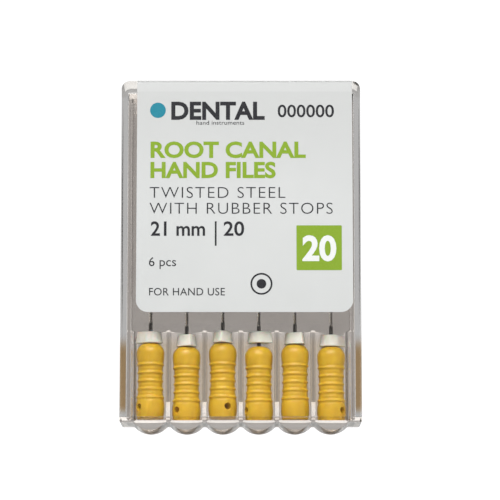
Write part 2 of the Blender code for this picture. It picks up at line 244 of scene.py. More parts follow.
def weld(bm):
    """Merges the doubled points that cutting and rounding leave behind."""
    bmesh.ops.remove_doubles(bm, verts=bm.verts[:], dist=WELD)
    bmesh.ops.dissolve_degenerate(bm, edges=bm.edges[:], dist=WELD)
    loose = [edge for edge in bm.edges if not edge.link_faces]
    bmesh.ops.delete(bm, geom=loose, context="EDGES")


def combine(obj, other, operation):
    """One Boolean, applied and welded, after which the other object is gone."""
    modifier = obj.modifiers.new(other.name, "BOOLEAN")
    modifier.operation = operation
    modifier.solver = "EXACT"
    modifier.object = other
    settle(obj)
    bpy.data.objects.remove(other, do_unlink=True)
    bm = bmesh.new()
    bm.from_mesh(obj.data)
    weld(bm)
    bm.to_mesh(obj.data)
    bm.free()


def round_edges(obj, width, segments, limit_degrees):
    modifier = obj.modifiers.new("edges", "BEVEL")
    modifier.width = width
    modifier.segments = segments
    modifier.limit_method = "ANGLE"
    modifier.angle_limit = math.radians(limit_degrees)
    modifier.miter_outer = "MITER_ARC"
    settle(obj)


def round_rims(bm, open_z, width, segments):
    """Rounds a prism's front and back rims, but for its straight edge at the height open_z."""
    rims = [edge for edge in bm.edges
            if abs(edge.verts[0].co.y - edge.verts[1].co.y) < SAME_PLACE
            and any(abs(vertex.co.z - open_z) > SAME_PLACE for vertex in edge.verts)]
    bmesh.ops.bevel(bm, geom=rims, offset=width, segments=segments, profile=0.5, affect="EDGES")


def shade_round(obj, sharp_degrees):
    obj.data.shade_smooth()
    obj.data.set_sharp_from_angle(angle=math.radians(sharp_degrees))


def finish_piece(obj, body, material, slot, *nodes):
    """Gives a piece its material, the body it rides on and the nodes it stands for."""
    obj.data.materials.clear()
    obj.data.materials.append(material)
    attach(obj, body)
    if nodes:
        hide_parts(*nodes)


# ---------------------------------------------------------------- materials

PLASTIC_IOR = 1.5


class Nodes:
    """A material's node tree, with short calls for the few nodes used here."""

    def __init__(self, name):
        self.material = bpy.data.materials.new(name)
        self.material.use_nodes = True
        self.tree = self.material.node_tree
        self.shader = self.tree.nodes["Principled BSDF"]
        self.output = self.tree.nodes["Material Output"]
        self.place = self.add("ShaderNodeTexCoord").outputs["Object"]

    def add(self, kind, **values):
        node = self.tree.nodes.new(kind)
        for name, value in values.items():
            setattr(node, name, value)
        return node

    def link(self, source, target):
        self.tree.links.new(source, target)

    def stretched(self, scale):
        """Object coordinates, scaled by different amounts along X, Y and Z."""
        mapping = self.add("ShaderNodeMapping")
        mapping.inputs["Scale"].default_value = scale
        self.link(self.place, mapping.inputs["Vector"])
        return mapping.outputs["Vector"]

    def noise(self, vector, scale, detail):
        texture = self.add("ShaderNodeTexNoise")
        texture.inputs["Scale"].default_value = scale
        texture.inputs["Detail"].default_value = detail
        self.link(vector, texture.inputs["Vector"])
        return texture.outputs["Fac"]

    def between(self, factor, low, high):
        """A number from low to high as the factor goes over the middle of its range."""
        mapped = self.add("ShaderNodeMapRange")
        mapped.inputs["From Min"].default_value = 0.3
        mapped.inputs["From Max"].default_value = 0.7
        mapped.inputs["To Min"].default_value = low
        mapped.inputs["To Max"].default_value = high
        self.link(factor, mapped.inputs["Value"])
        return mapped.outputs["Result"]

    def mix(self, factor, first, second):
        """A colour between two; each is a colour or a node's output."""
        node = self.add("ShaderNodeMix", data_type="RGBA")
        sockets = (node.inputs[6], node.inputs[7])
        for value, socket in zip((first, second), sockets):
            if isinstance(value, tuple):
                socket.default_value = (*value, 1.0)
            else:
                self.link(value, socket)
        self.link(factor, node.inputs[0])
        return node.outputs[2]

    def number(self, operation, *values):
        """A sum on numbers, each of them a number or a node's output."""
        node = self.add("ShaderNodeMath", operation=operation)
        for value, socket in zip(values, node.inputs):
            if isinstance(value, (int, float)):
                socket.default_value = value
            else:
                self.link(value, socket)
        return node.outputs["Value"]

    def ramp(self, value, none, full):
        """A soft step from 0 to 1 as the value goes from none to full."""
        step = self.add("ShaderNodeMapRange", interpolation_type="SMOOTHSTEP")
        step.inputs["From Min"].default_value = none
        step.inputs["From Max"].default_value = full
        self.link(value, step.inputs["Value"])
        return step.outputs["Result"]

    def along(self, axis):
        """How far along X, Y or Z a point is."""
        split = self.add("ShaderNodeSeparateXYZ")
        self.link(self.place, split.inputs["Vector"])
        return split.outputs[axis]

    def zone(self, ramps):
        """The product of soft steps along X, Y or Z, taken on both sides of the middle plane."""
        total = 1.0
        for axis, none, full in ramps:
            away = self.number("ABSOLUTE", self.along(axis))
            total = self.number("MULTIPLY", total, self.ramp(away, none, full))
        return total

    def bump(self, height, strength, distance):
        node = self.add("ShaderNodeBump")
        node.inputs["Strength"].default_value = strength
        node.inputs["Distance"].default_value = distance
        self.link(height, node.inputs["Height"])
        self.link(node.outputs["Normal"], self.shader.inputs["Normal"])

    def open_where(self, factor, tint=(1.0, 1.0, 1.0)):
        """Lets rays go straight on, tinted, where the factor is 1."""
        open_way = self.add("ShaderNodeBsdfTransparent")
        open_way.inputs["Color"].default_value = (*tint, 1.0)
        either = self.add("ShaderNodeMixShader")
        self.link(factor, either.inputs["Fac"])
        self.link(self.shader.outputs["BSDF"], either.inputs[1])
        self.link(open_way.outputs["BSDF"], either.inputs[2])
        self.link(either.outputs["Shader"], self.output.inputs["Surface"])

    def set(self, **values):
        for name, value in values.items():
            self.shader.inputs[name.replace("_", " ")].default_value = value


def clear_plastic(name, tint, deeper, zones):
    """Clear moulded plastic with faint flow lines along its length; lamps shine through it.

    Its zones take other tints, such as a painted reflection of the handles' yellow beside them and a
    greyer tint over a thicker wall. Each has its colour and its ramps (axis, where it is none, where
    it is full)."""
    n = Nodes(name)
    flow = n.noise(n.stretched((1.0, 1.0, 0.12)), 700.0, 2.0)
    patches = n.noise(n.place, 160.0, 2.0)
    colour = n.mix(n.between(patches, 0.0, 1.0), tint, deeper)
    # Zone tints: painted reflections of the handles' colour, and other tints.
    for zone_tint, ramps in zones:
        colour = n.mix(n.zone(ramps), colour, zone_tint)
    n.link(colour, n.shader.inputs["Base Color"])
    n.link(n.between(flow, 0.01, 0.05), n.shader.inputs["Roughness"])
    n.bump(flow, 0.12, 0.02 * MM)
    n.set(IOR=PLASTIC_IOR, Transmission_Weight=1.0)
    n.open_where(n.add("ShaderNodeLightPath").outputs["Is Shadow Ray"], tint)
    return n.material


def handle_plastic():
    """Satin yellow plastic, slightly mottled, a little light going under its surface."""
    n = Nodes("handle_yellow")
    mottle = n.noise(n.place, 900.0, 3.0)
    grain = n.noise(n.place, 9000.0, 2.0)
    colour = n.mix(n.between(mottle, 0.0, 1.0), (0.668, 0.418, 0.018), (0.600, 0.362, 0.013))
    n.link(colour, n.shader.inputs["Base Color"])
    n.link(n.between(mottle, 0.30, 0.40), n.shader.inputs["Roughness"])
    n.bump(grain, 0.15, 0.008 * MM)
    n.set(Subsurface_Weight=0.3, Subsurface_Scale=0.5 * MM)
    n.shader.inputs["Subsurface Radius"].default_value = (1.0, 0.55, 0.12)
    return n.material


def file_steel():
    """Stainless steel with fine drawing lines: a painted dark reflection on the shank, painted shade
    in the flutes, and a painted highlight on the blade's edges.
    """
    n = Nodes("file_steel")
    lines = n.noise(n.stretched((1.0, 1.0, 0.08)), 14000.0, 3.0)
    from_axis = n.add("ShaderNodeVectorMath", operation="LENGTH")
    n.link(n.stretched((1.0, 1.0, 0.0)), from_axis.inputs[0])
    height = n.along("Z")
    edge = n.number("MULTIPLY_ADD", height, -BLADE_TAPER / 2, blade_radius(0.0))
    reach = n.number("DIVIDE", from_axis.outputs["Value"], edge)
    # Painted highlight on the blade's cutting edges; elsewhere the dark colour is a painted dark
    # reflection on the shank and painted shade in the flutes.
    painted_edge_glint = n.number("MULTIPLY", n.ramp(reach, 0.62, 0.92), n.ramp(height, SHANK_LENGTH, BLADE_START))
    dark = n.mix(n.between(lines, 0.0, 1.0), (0.15, 0.14, 0.13), (0.09, 0.085, 0.08))
    n.link(n.mix(painted_edge_glint, dark, (0.72, 0.70, 0.67)), n.shader.inputs["Base Color"])
    n.link(n.between(lines, 0.08, 0.18), n.shader.inputs["Roughness"])
    n.bump(lines, 0.2, 0.004 * MM)
    n.set(Metallic=1.0)
    return n.material


def silicone():
    """Matt off-white silicone, cloudy, with a fine moulded grain."""
    n = Nodes("stop_silicone")
    cloud = n.noise(n.place, 1100.0, 3.0)
    grain = n.noise(n.place, 12000.0, 3.0)
    colour = n.mix(n.between(cloud, 0.0, 1.0), (0.80, 0.80, 0.73), (0.75, 0.75, 0.67))
    n.link(colour, n.shader.inputs["Base Color"])
    n.link(n.between(grain, 0.45, 0.62), n.shader.inputs["Roughness"])
    n.bump(grain, 0.25, 0.01 * MM)
    n.set(Subsurface_Weight=0.25, Subsurface_Scale=0.5 * MM)
    return n.material


def label_paper():
    """Satin coated paper with faint fibres, and painted shade: darker towards the top, a set tone over
    the top wall, and much darker over the rounded top edge.
    """
    n = Nodes("label_paper")
    fibres = n.noise(n.stretched((1.0, 1.0, 3.0)), 4000.0, 4.0)
    clouds = n.noise(n.place, 120.0, 2.0)
    paper = n.mix(n.between(clouds, 0.0, 1.0), (0.630, 0.640, 0.636), (0.608, 0.620, 0.616))

    height = n.along("Z")
    # Painted shade: the paper darkens from 30 mm up to the top of the cavity.
    paper = n.mix(n.ramp(height, 30 * MM, CAVITY_TOP), paper, (0.552, 0.560, 0.555))
    # Painted shade: over the sleeve's solid top wall the paper takes a set tone, with a soft step at
    # the cavity's top edge.
    painted_fold_shade = n.ramp(height, CAVITY_TOP - 0.1 * MM, CAVITY_TOP + 0.1 * MM)
    paper = n.mix(painted_fold_shade, paper, (0.585, 0.592, 0.588))
    # Painted shade over the rounded top edge, where the key lamp would light the paper most.
    top = n.ramp(height, CASE_TOP - SLEEVE_EDGE, CASE_TOP - SLEEVE_EDGE / 2)
    n.link(n.mix(top, paper, (0.40, 0.406, 0.403)), n.shader.inputs["Base Color"])
    n.link(n.between(fibres, 0.36, 0.50), n.shader.inputs["Roughness"])
    n.bump(fibres, 0.12, 0.006 * MM)
    return n.material


def ink(name, colour, worn):
    """Printing ink: satin, thinner in places."""
    n = Nodes(name)
    patches = n.noise(n.place, 5000.0, 3.0)
    n.link(n.mix(n.between(patches, 0.0, 0.5), colour, worn), n.shader.inputs["Base Color"])
    n.link(n.between(patches, 0.38, 0.52), n.shader.inputs["Roughness"])
    n.set(Specular_IOR_Level=0.2)
    return n.material


def floor_surface():
    """Pale matt floor, as bright as the backdrop where it is seen directly, and open from below."""
    n = Nodes("pale_floor")
    cloud = n.noise(n.place, 6.0, 2.0)
    n.link(n.mix(n.between(cloud, 0.0, 1.0), (0.62, 0.62, 0.61), (0.60, 0.60, 0.59)),
           n.shader.inputs["Base Color"])
    n.shader.inputs["Emission Color"].default_value = (1.0, 1.0, 1.0, 1.0)
    path = n.add("ShaderNodeLightPath")
    glow = n.number("MULTIPLY_ADD", path.outputs["Is Transmission Ray"], FLOOR_SEEN_THROUGH,
                    path.outputs["Is Camera Ray"])
    n.link(glow, n.shader.inputs["Emission Strength"])
    n.set(Roughness=0.9, Specular_IOR_Level=0.0)
    n.open_where(n.add("ShaderNodeNewGeometry").outputs["Backfacing"])
    return n.material


# ------------------------------------------------------------------- tray

def file_x(number):
    low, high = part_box(f"handle_{number}")
    return (low[0] + high[0]) / 2


FILE_PITCH = (file_x(FILES[-1]) - file_x(FILES[0])) / (len(FILES) - 1)
TROUGH_RADIUS = (FILE_PITCH - DIVIDER_WIDTH) / 2


def pocket_x(number):
    return (number - (FILES[0] + FILES[-1]) / 2) * FILE_PITCH


def ridge_outline(x):
    """One ridge from left to right: a fillet down, the round, and a fillet up."""
    reach = RIDGE_RADIUS + RIDGE_FILLET
    drop = RIDGE_RADIUS - END_BLOCK_BOTTOM + RIDGE_FILLET
    side = math.sqrt(reach**2 - drop**2)
    spread = math.degrees(math.asin(side / reach))
    fillet_z = END_BLOCK_BOTTOM - RIDGE_FILLET
    outline = arc(x - side, fillet_z, RIDGE_FILLET, 90, 90 - spread, 8)[:-1]
    outline += arc(x, RIDGE_RADIUS, RIDGE_RADIUS, 270 - spread, 270 + spread, 28)
    return outline + arc(x + side, fillet_z, RIDGE_FILLET, 90 + spread, 90, 8)[1:]


def end_block_outline():
    """The end block seen from the front: two rounded lower corners and the ridges."""
    corner_z = END_BLOCK_BOTTOM + END_CORNER_RADIUS
    corner_x = HALF_WIDTH - END_CORNER_RADIUS
    outline = [(-HALF_WIDTH, END_BLOCK_TOP)]
    outline += arc(-corner_x, corner_z, END_CORNER_RADIUS, 180, 270, 16)
    for number in FILES:
        outline += ridge_outline(pocket_x(number))
    outline += arc(corner_x, corner_z, END_CORNER_RADIUS, 270, 360, 16)
    outline.append((HALF_WIDTH, END_BLOCK_TOP))
    return outline


def lip_arc(side, front):
    """A side wall's rounded inner lip, from its front to its inner face, seen from above."""
    centre_x = POCKET_HALF_WIDTH + TRAY_LIP_ROUND
    lip = arc(-centre_x, front + TRAY_LIP_ROUND, TRAY_LIP_ROUND, 270, 360, 8)
    return [(-side * u, v) for u, v in lip]


def pocket_outline(front):
    """The pockets and the open space in front of them, seen from above.

    A pocket is round behind its file; the outer two lie against the sloping side walls."""
    edge_y = DIVIDER_FRONT + DIVIDER_ROUND
    corner_x = POCKET_HALF_WIDTH - POCKET_DRAFT - POCKET_CORNER_RADIUS
    corner_y = TROUGH_RADIUS - POCKET_CORNER_RADIUS
    outline = lip_arc(-1, front)
    outline += arc(-corner_x, corner_y, POCKET_CORNER_RADIUS, 180, 90, 10)
    outline += arc(pocket_x(FILES[0]), 0, TROUGH_RADIUS, 90, 0, 20)
    for number in FILES[1:]:
        right = pocket_x(number) - TROUGH_RADIUS
        left = right - DIVIDER_WIDTH
        last = number == FILES[-1]
        outline += arc(left + DIVIDER_ROUND, edge_y, DIVIDER_ROUND, 180, 270, 6)
        outline += arc(right - DIVIDER_ROUND, edge_y, DIVIDER_ROUND, 270, 360, 6)
        outline += arc(pocket_x(number), 0, TROUGH_RADIUS, 180, 90 if last else 0,
                       20 if last else 40)
    outline += arc(corner_x, corner_y, POCKET_CORNER_RADIUS, 90, 0, 10)
    return outline + lip_arc(1, front)[::-1]


def blade_space_outline(front):
    """The open space behind the label, seen from above, with the same rounded lips."""
    outline = lip_arc(-1, front) + [(-POCKET_HALF_WIDTH, FLOOR_FACE)]
    return outline + [(POCKET_HALF_WIDTH, FLOOR_FACE)] + lip_arc(1, front)[::-1]


def divider_foot(x):
    """A divider's lower end, coming forward to a foot on the pocket floor."""
    half = DIVIDER_WIDTH / 2 - DIVIDER_FOOT_INSET
    back = DIVIDER_FRONT + 2 * DIVIDER_ROUND
    toe = DIVIDER_FRONT - DIVIDER_FOOT_REACH
    sunk = POCKET_BOTTOM - DIVIDER_FOOT_SUNK
    outline = [(back, sunk), (toe, sunk), (toe, POCKET_BOTTOM + DIVIDER_FOOT_STEP),
               (DIVIDER_FRONT, DIVIDER_FOOT_TOP), (back, DIVIDER_FOOT_TOP)]
    bm = prism(outline, x - half, x + half, along_x)
    return new_object("divider_foot", bm)


def build_tray(material):
    front = -TRAY_HALF_DEPTH
    bm = prism(end_block_outline(), -HALF_DEPTH, HALF_DEPTH, along_y)
    round_rims(bm, END_BLOCK_TOP, END_BLOCK_EDGE, 5)
    weld(bm)
    tray = new_object("tray_moulding", bm)

    corner_x = TRAY_HALF_WIDTH - TRAY_LIP_ROUND
    corner_y = TRAY_LIP_ROUND - TRAY_HALF_DEPTH
    blank = [(TRAY_HALF_WIDTH, TRAY_HALF_DEPTH), (-TRAY_HALF_WIDTH, TRAY_HALF_DEPTH)]
    blank += arc(-corner_x, corner_y, TRAY_LIP_ROUND, 180, 270, 8)
    blank += arc(corner_x, corner_y, TRAY_LIP_ROUND, 270, 360, 8)
    combine(tray, new_object("trough_blank", prism(blank, POCKET_BOTTOM, TRAY_TOP, along_z)), "UNION")
    spare = [(POCKET_HALF_WIDTH + TRAY_LIP_ROUND, front - CUT_OVERRUN),
             (-POCKET_HALF_WIDTH - TRAY_LIP_ROUND, front - CUT_OVERRUN)]
    blade_space = prism(blade_space_outline(front) + spare, POCKET_TOP, TRAY_TOP - TRAY_END_WALL,
                        along_z)
    combine(tray, new_object("blade_space", blade_space), "DIFFERENCE")
    pockets = prism(pocket_outline(front) + spare, POCKET_BOTTOM, POCKET_TOP + CUT_OVERRUN,
                    along_z)
    combine(tray, new_object("handle_pockets", pockets), "DIFFERENCE")
    for number in FILES[1:]:
        combine(tray, divider_foot((pocket_x(number) + pocket_x(number - 1)) / 2), "UNION")
    finish_piece(tray, "tray", material, "clear_tray", "tray")


# ------------------------------------------------------------------ sleeve

def build_sleeve(material):
    corner_x = HALF_WIDTH - CORNER_RADIUS
    corner_z = CASE_TOP - CORNER_RADIUS
    outline = [(-HALF_WIDTH, SLEEVE_BOTTOM), (HALF_WIDTH, SLEEVE_BOTTOM)]
    outline += arc(corner_x, corner_z, CORNER_RADIUS, 0, 90, 16)
    outline += arc(-corner_x, corner_z, CORNER_RADIUS, 90, 180, 16)
    bm = prism(outline, -HALF_DEPTH, HALF_DEPTH, along_y)
    round_rims(bm, SLEEVE_BOTTOM, SLEEVE_EDGE, 8)
    sleeve = new_object("sleeve_moulding", bm)

    bm = box(CAVITY_HALF_WIDTH, (-CAVITY_HALF_DEPTH, CAVITY_HALF_DEPTH), (0, CAVITY_TOP))
    inner = [edge for edge in bm.edges if max(v.co.z for v in edge.verts) > CAVITY_TOP / 2]
    bmesh.ops.bevel(bm, geom=inner, offset=CAVITY_EDGE, segments=6, profile=0.5, affect="EDGES")
    combine(sleeve, new_object("sleeve_cavity", bm), "DIFFERENCE")
    finish_piece(sleeve, "sleeve", material, "clear_sleeve", "sleeve")


# ------------------------------------------------------------------- label

def label_flap(bottom):
    """Stations up the front of the label and half over its top fold.

    Each is (point on the inner face, outward normal, how far the side edges draw in)."""
    inner_y = LABEL_HIGH[1] - LABEL_THICKNESS
    inner_top = LABEL_HIGH[2] - LABEL_THICKNESS
    bend = SLEEVE_EDGE + inner_top - CASE_TOP
    flap = []
    for u, v in arc(LABEL_CORNER, LABEL_CORNER, LABEL_CORNER, 270, 180, 16):
        flap.append((Vector((-inner_y, bottom + v)), Vector((-1, 0)), u))
    for i in range(13):
        angle = math.radians(180 - 90 * i / 12)
        normal = Vector((math.cos(angle), math.sin(angle)))
        flap.append((Vector((bend - inner_y, inner_top - bend)) + normal * bend, normal, 0.0))
    return flap


def label_path():
    """Stations from the front lower edge, over the top, to the back lower edge."""
    back = [(Vector((-p.x, p.y)), Vector((-n.x, n.y)), inset)
            for p, n, inset in reversed(label_flap(LABEL_BACK_BOTTOM))]
    return label_flap(LABEL_LOW[2]) + back


def build_label(material):
    bm = bmesh.new()
    rings = []
    for point, normal, inset in label_path():
        outer = point + normal * LABEL_THICKNESS
        left = LABEL_LOW[0] + inset
        right = LABEL_HIGH[0] - inset
        corners = [(left, point), (right, point), (right, outer), (left, outer)]
        rings.append([bm.verts.new((x, p.x, p.y)) for x, p in corners])
    for lower, upper in zip(rings, rings[1:]):
        bridge(bm, lower, upper)
    bm.faces.new(rings[0])
    bm.faces.new(rings[-1])
    label = new_object("label_sheet", bm)
    shade_round(label, 30)
    finish_piece(label, "sleeve", material, "label_paper", "label")


# ------------------------------------------------------------------- print
# Places on the label are in millimetres from the case's left edge and from its base.

Line = namedtuple("Line", "text left right base cap weight spacing ink")
LINES = [
    Line("DENTAL", 7.3, 21.0, 45.6, 2.6, 0.034, 1.0, "dark"),
    Line("hand instruments", 11.0, 18.0, 44.75, 0.6, 0.0, 1.0, "dark"),
    Line("000000", 22.9, 31.15, 45.9, 1.85, 0.012, 1.0, "dark"),
    Line("ROOT CANAL", 4.3, 27.0, 39.9, 2.35, 0.034, 1.0, "green"),
    Line("HAND FILES", 4.3, 22.6, 36.9, 2.33, 0.034, 1.0, "green"),
    Line("TWISTED STEEL", 4.2, 24.0, 33.85, 1.63, -0.012, 1.12, "dark"),
    Line("WITH RUBBER STOPS", 4.2, 30.9, 31.5, 1.65, -0.012, 1.12, "dark"),
    Line("21 mm", 4.4, 12.3, 28.3, 2.1, 0.016, 1.0, "dark"),
    Line("|", 13.72, 13.98, 27.7, 2.7, 0.0, 1.0, "dark"),
    Line("20", 15.0, 18.0, 28.3, 2.1, 0.016, 1.0, "dark"),
    Line("6 pcs", 4.15, 8.1, 23.8, 1.32, 0.0, 1.0, "dark"),
    Line("FOR HAND USE", 4.2, 15.2, 19.5, 1.1, 0.002, 1.05, "dark"),
    Line("20", 26.45, 31.4, 24.7, 3.65, 0.034, 1.0, "white"),
]
BADGE_CENTRE = (28.9, 26.5)
BADGE_HALF = 3.3 * MM
BADGE_CORNER = 0.12 * MM
DISC_CENTRE = (5.35, 46.9)
DISC_RADIUS = 1.15 * MM
MARK_CENTRE = (20.5, 21.2)
MARK_OUTER_RADIUS = 1.6 * MM
MARK_INNER_RADIUS = 1.35 * MM
MARK_DOT_RADIUS = 0.7 * MM


def label_point(across, up):
    """A place on the print, in millimetres, as X and Z in the frame."""
    return across * MM - HALF_WIDTH, up * MM


def print_y(lift=1):
    return LABEL_LOW[1] - PRINT_LIFT * lift


def flat_print(name, outline, material):
    """A raised printed shape from an outline in X and Z."""
    piece = new_object(name, prism(outline, print_y(), LABEL_LOW[1], along_y))
    finish_piece(piece, "sleeve", material, "label_paper")


def lettering(name, line, material):
    """One line of built-in lettering, fitted between its left and right ends."""
    curve = bpy.data.curves.new(name, "FONT")
    curve.body = line.text
    curve.offset = line.weight
    curve.space_character = line.spacing
    curve.extrude = 0.5
    curve.resolution_u = 4
    holder = bpy.data.objects.new(name + "_curve", curve)
    bpy.context.collection.objects.link(holder)
    depsgraph = bpy.context.evaluated_depsgraph_get()
    mesh = bpy.data.meshes.new_from_object(holder.evaluated_get(depsgraph))
    bpy.data.objects.remove(holder, do_unlink=True)

    low = [min(v.co[i] for v in mesh.vertices) for i in range(2)]
    high = [max(v.co[i] for v in mesh.vertices) for i in range(2)]
    left, base = label_point(line.left, line.base)
    right, _ = label_point(line.right, line.base)
    across = (right - left) / (high[0] - low[0])
    up = line.cap * MM / (high[1] - max(low[1], 0.0))
    lift = 2 if line.ink == "white" else 1
    for vertex in mesh.vertices:
        u, v, w = vertex.co
        deep = print_y(lift) if w > 0 else LABEL_LOW[1]
        vertex.co = (left + (u - low[0]) * across, deep, base + (v - max(low[1], 0.0)) * up)
    bm = bmesh.new()
    bm.from_mesh(mesh)
    bmesh.ops.remove_doubles(bm, verts=bm.verts[:], dist=LETTER_WELD)
    piece = new_object(name, bm)
    finish_piece(piece, "sleeve", material, "label_paper")


def rounded_square(centre_x, centre_z, half, radius):
    outline = []
    for sign_x, sign_z, start in ((1, 1, 0), (-1, 1, 90), (-1, -1, 180), (1, -1, 270)):
        outline += arc(centre_x + sign_x * (half - radius), centre_z + sign_z * (half - radius),
                       radius, start, start + 90, 6)
    return outline


def ring_print(name, centre, outer, inner, material):
    """A printed ring: a disc with a round opening."""
    disc = prism(circle(*centre, outer), print_y(), LABEL_LOW[1], along_y)
    hole = prism(circle(*centre, inner), print_y(3), LABEL_LOW[1] + PRINT_LIFT, along_y)
    disc = new_object(name, disc)
    combine(disc, new_object(name + "_hole", hole), "DIFFERENCE")
    finish_piece(disc, "sleeve", material, "label_paper")


def build_print(inks):
    for index, line in enumerate(LINES):
        lettering(f"print_line_{index + 1}", line, inks[line.ink])
    badge = rounded_square(*label_point(*BADGE_CENTRE), BADGE_HALF, BADGE_CORNER)
    flat_print("print_badge", badge, inks["green"])
    flat_print("print_disc", circle(*label_point(*DISC_CENTRE), DISC_RADIUS), inks["teal"])
    mark = label_point(*MARK_CENTRE)
    ring_print("print_mark", mark, MARK_OUTER_RADIUS, MARK_INNER_RADIUS, inks["dark"])
    flat_print("print_mark_dot", circle(*mark, MARK_DOT_RADIUS, 36), inks["dark"])


# ------------------------------------------------------------------- files

def smoothstep(t):
    t = min(max(t, 0.0), 1.0)
    return t * t * (3 - 2 * t)


def rib_rise(height):
    """Five rounded rings, each with a shallow groove on both sides."""
    rise = 0.0
    for index in range(RIB_COUNT):
        away = (height - LOWEST_RIB - index * RIB_PITCH) / RIB_WIDTH
        below = math.exp(-((away + RIB_GROOVE_AWAY) ** 2))
        above = math.exp(-((away - RIB_GROOVE_AWAY) ** 2))
        rise += RIB_RISE * math.exp(-away**2) - RIB_UNDERCUT * (below + above)
    return rise


def grip_radius(height):
    """The handle's waisted, ribbed body between its lower end and its bulb."""
    if height < HANDLE_WAIST_HEIGHT:
        end_radius = HANDLE_END_RADIUS
        span = HANDLE_WAIST_HEIGHT - HANDLE_END_HEIGHT
    else:
        end_radius = HANDLE_BULB_RADIUS
        span = HANDLE_BULB_HEIGHT - HANDLE_WAIST_HEIGHT
    share = smoothstep(abs(height - HANDLE_WAIST_HEIGHT) / span) ** GRIP_CURVE
    return HANDLE_WAIST_RADIUS + (end_radius - HANDLE_WAIST_RADIUS) * share + rib_rise(height)


def handle_profile(length, bore_bottom):
    """(radius, height) down the tang's bore, over the foot, the ribs and the dome."""
    profile = arc(HANDLE_FOOT_RADIUS - HANDLE_FOOT_ROUND, HANDLE_FOOT_ROUND, HANDLE_FOOT_ROUND,
                  270, 360, 6)
    for i in range(1, 9):
        height = HANDLE_FOOT_ROUND + (HANDLE_END_HEIGHT - HANDLE_FOOT_ROUND) * i / 8
        swell = math.sin(math.pi / 2 * i / 8)
        profile.append((HANDLE_FOOT_RADIUS + (HANDLE_END_RADIUS - HANDLE_FOOT_RADIUS) * swell,
                        height))
    for i in range(1, GRIP_STATIONS):
        height = HANDLE_END_HEIGHT + (HANDLE_BULB_HEIGHT - HANDLE_END_HEIGHT) * i / GRIP_STATIONS
        profile.append((grip_radius(height), height))
    dome_width = HANDLE_BULB_RADIUS - HANDLE_TOP_FLAT
    for u, v in arc(0, 0, 1, 0, 90, 16):
        profile.append((HANDLE_TOP_FLAT + dome_width * u,
                        HANDLE_BULB_HEIGHT + (length - HANDLE_BULB_HEIGHT) * v))
    bore = SHANK_RADIUS + TANG_GAP
    profile += [(bore, length), (bore, bore_bottom)]
    return profile


def ring(bm, radius, height, sides, turn=0.0):
    points = []
    for i in range(sides):
        angle = turn + 2 * math.pi * i / sides
        points.append(bm.verts.new((radius * math.cos(angle), radius * math.sin(angle), height)))
    return points


def handle_mesh():
    """One handle with its tang bore and cord hole, standing on the origin."""
    low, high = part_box("handle_1")
    length = high[2] - low[2]
    tang_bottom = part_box("shaft_1")[0][2] - low[2]
    bm = bmesh.new()
    rings = [ring(bm, radius, height, HANDLE_SIDES)
             for radius, height in handle_profile(length, tang_bottom - TANG_GAP)]
    for lower, upper in zip(rings, rings[1:]):
        bridge(bm, lower, upper)
    bm.faces.new(rings[0])
    bm.faces.new(rings[-1])
    handle = new_object("handle_pattern", bm)

    bm = bmesh.new()
    mouth = HANDLE_END_RADIUS - CORD_HOLE_LIP
    flare = CORD_HOLE_MOUTH + (CORD_HOLE_REACH - mouth)
    profile = [(flare, -CORD_HOLE_REACH), (CORD_HOLE_MOUTH, -mouth), (CORD_HOLE_RADIUS, 0),
               (CORD_HOLE_MOUTH, mouth), (flare, CORD_HOLE_REACH)]
    ends = [ring(bm, radius, height, CORD_HOLE_SIDES) for radius, height in profile]
    for lower, upper in zip(ends, ends[1:]):
        bridge(bm, lower, upper)
    bm.faces.new(ends[0])
    bm.faces.new(ends[-1])
    turn = Matrix.Translation((0, 0, CORD_HOLE_HEIGHT)) @ Matrix.Rotation(math.pi / 2, 4, "X")
    bm.transform(turn)
    combine(handle, new_object("cord_hole", bm), "DIFFERENCE")
    shade_round(handle, 40)
    mesh = handle.data
    bpy.data.objects.remove(handle, do_unlink=True)
    return mesh


def blade_radius(height):
    """From the axis to a cutting edge, at a height above the handle's top."""
    return TIP_DIAMETER / 2 + (WORKING_LENGTH - height) * BLADE_TAPER / 2


def square_share(angle):
    """The radius of a slightly hollow-sided square whose corners are at radius 1."""
    off_corner = (angle + math.pi / 4) % (math.pi / 2) - math.pi / 4
    flat = math.cos(math.pi / 4) / math.cos(math.pi / 4 - abs(off_corner))
    return flat - FLUTE_HOLLOW * math.sin(2 * abs(off_corner)) ** 2


def shaft_mesh():
    """A round tang and shank running out into a twisted square blade with a short point."""
    low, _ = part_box("shaft_1")
    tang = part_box("handle_1")[1][2] - low[2]
    blade_end = WORKING_LENGTH - TIP_LENGTH
    steps = round((blade_end - SHANK_LENGTH) / FLUTE_PITCH * STATIONS_PER_TURN)
    bm = bmesh.new()
    rings = [ring(bm, SHANK_RADIUS, height, SHAFT_SIDES) for height in (-tang, 0.0)]
    for i in range(steps + 1):
        height = SHANK_LENGTH + (blade_end - SHANK_LENGTH) * i / steps
        turn = 2 * math.pi * (height - SHANK_LENGTH) / FLUTE_PITCH
        cut = smoothstep((height - SHANK_LENGTH) / RUNOUT_LENGTH)
        points = []
        for k in range(SHAFT_SIDES):
            angle = 2 * math.pi * k / SHAFT_SIDES
            radius = SHANK_RADIUS + (blade_radius(height) * square_share(angle) - SHANK_RADIUS) * cut
            points.append(bm.verts.new((radius * math.cos(angle + turn),
                                        radius * math.sin(angle + turn), height)))
        rings.append(points)
    for lower, upper in zip(rings, rings[1:]):
        bridge(bm, lower, upper)
    bm.faces.new(rings[0])
    tip = bm.verts.new((0, 0, WORKING_LENGTH))
    for k in range(SHAFT_SIDES):
        bm.faces.new((rings[-1][k], rings[-1][(k + 1) % SHAFT_SIDES], tip))
    pattern = new_object("shaft_pattern", bm)
    shade_round(pattern, 35)
    mesh = pattern.data
    bpy.data.objects.remove(pattern, do_unlink=True)
    return mesh


